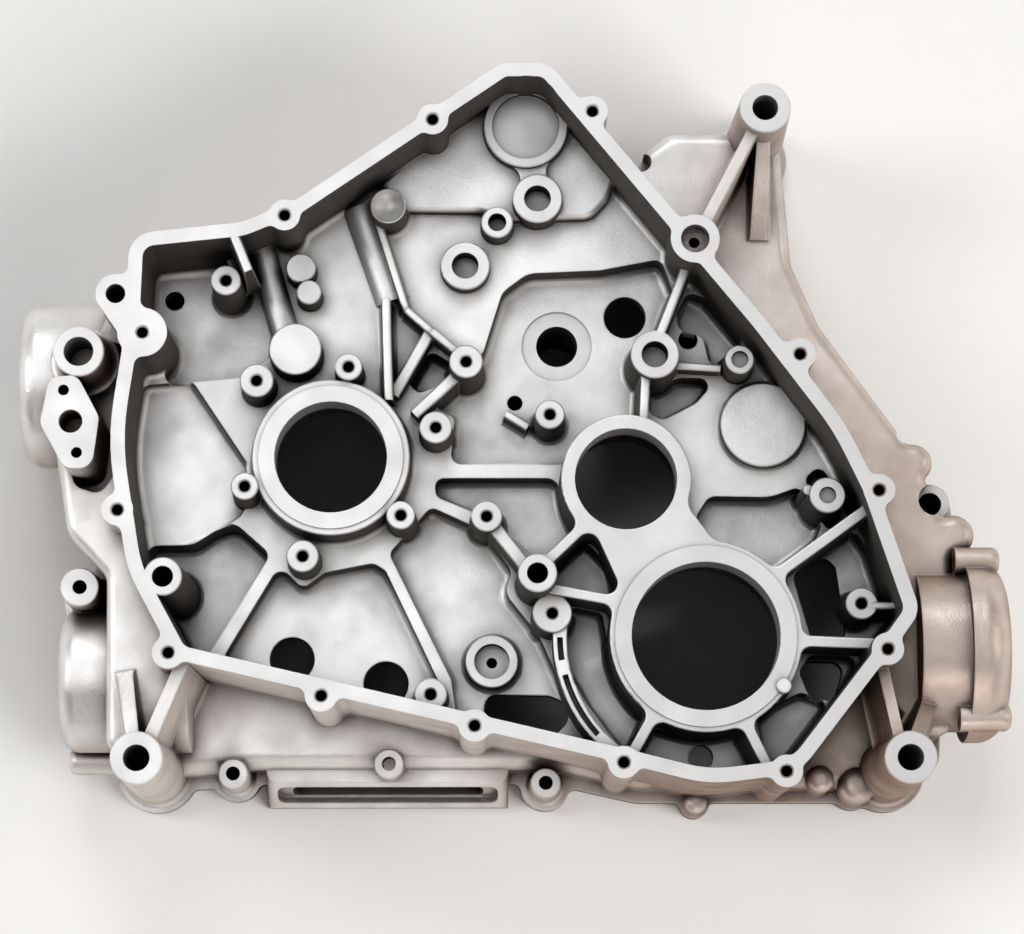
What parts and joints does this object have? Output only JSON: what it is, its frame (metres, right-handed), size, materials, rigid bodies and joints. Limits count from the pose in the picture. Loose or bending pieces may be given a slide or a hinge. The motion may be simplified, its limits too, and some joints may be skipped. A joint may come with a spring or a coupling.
{
  "type": "crankcase",
  "caption": "Half of an engine crankcase: a machined aluminium casting with bearing bores, a ribbed gear space inside a bolted rim, oil ports and long mounting bosses.",
  "frame": {"origin": "middle of the part's base, on the split face", "axes": "+X to the right along the case's length, +Y towards the narrow corner at the top of the cover side, +Z out of the split face towards the cover face, along the shaft bores"},
  "size_m": [0.4626, 0.3434, 0.115],
  "materials": {
    "cast_aluminium": "satin"
  },
  "bodies": {
    "root": {"crankcase": "cast_aluminium"}
  },
  "joints": []
}
